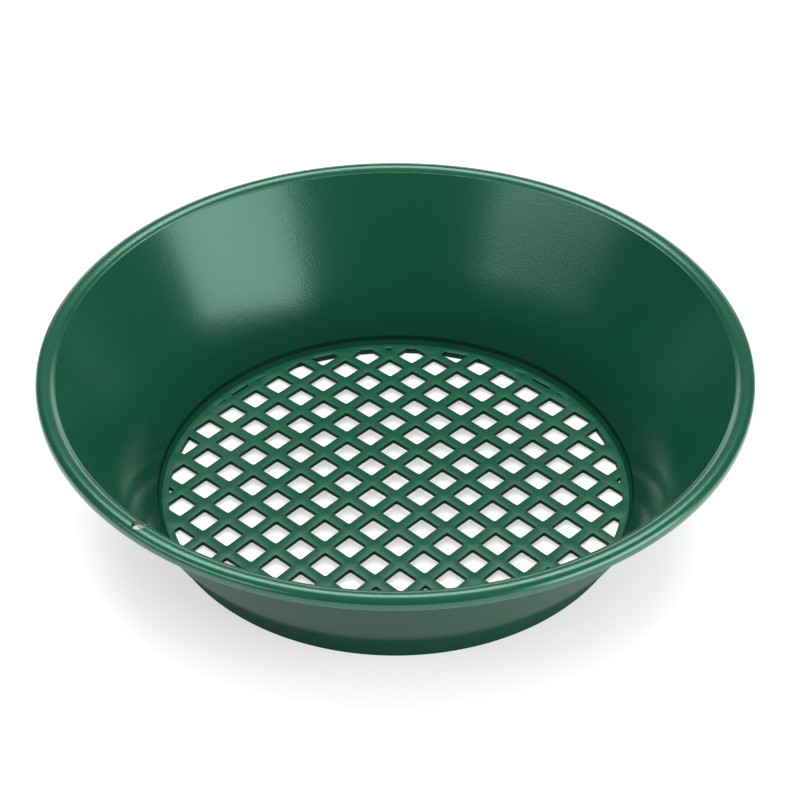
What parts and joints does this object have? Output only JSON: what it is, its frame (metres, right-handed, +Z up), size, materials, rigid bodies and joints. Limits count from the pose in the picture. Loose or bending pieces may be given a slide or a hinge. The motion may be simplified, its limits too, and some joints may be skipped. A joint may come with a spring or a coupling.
{
  "type": "gold panning classifier sieve",
  "caption": "Round moulded plastic bowl with an out-turned rim, a hang hole and a square-hole sieve floor, for sorting gravel over a gold pan.",
  "frame": {"origin": "centre of the foot, on the surface that the bowl stands on", "axes": "+Z up along the bowl's axis; +X to the right and +Y away, as seen with the hang hole at the left near side"},
  "size_m": [0.3556, 0.3556, 0.09],
  "materials": {
    "green_plastic": "deep green injection-moulded polypropylene, satin gloss, lightly scuffed"
  },
  "bodies": {
    "root": {"rim_flange": "green_plastic", "side_wall": "green_plastic", "base_ring": "green_plastic", "sieve_grid": "green_plastic"}
  },
  "joints": []
}
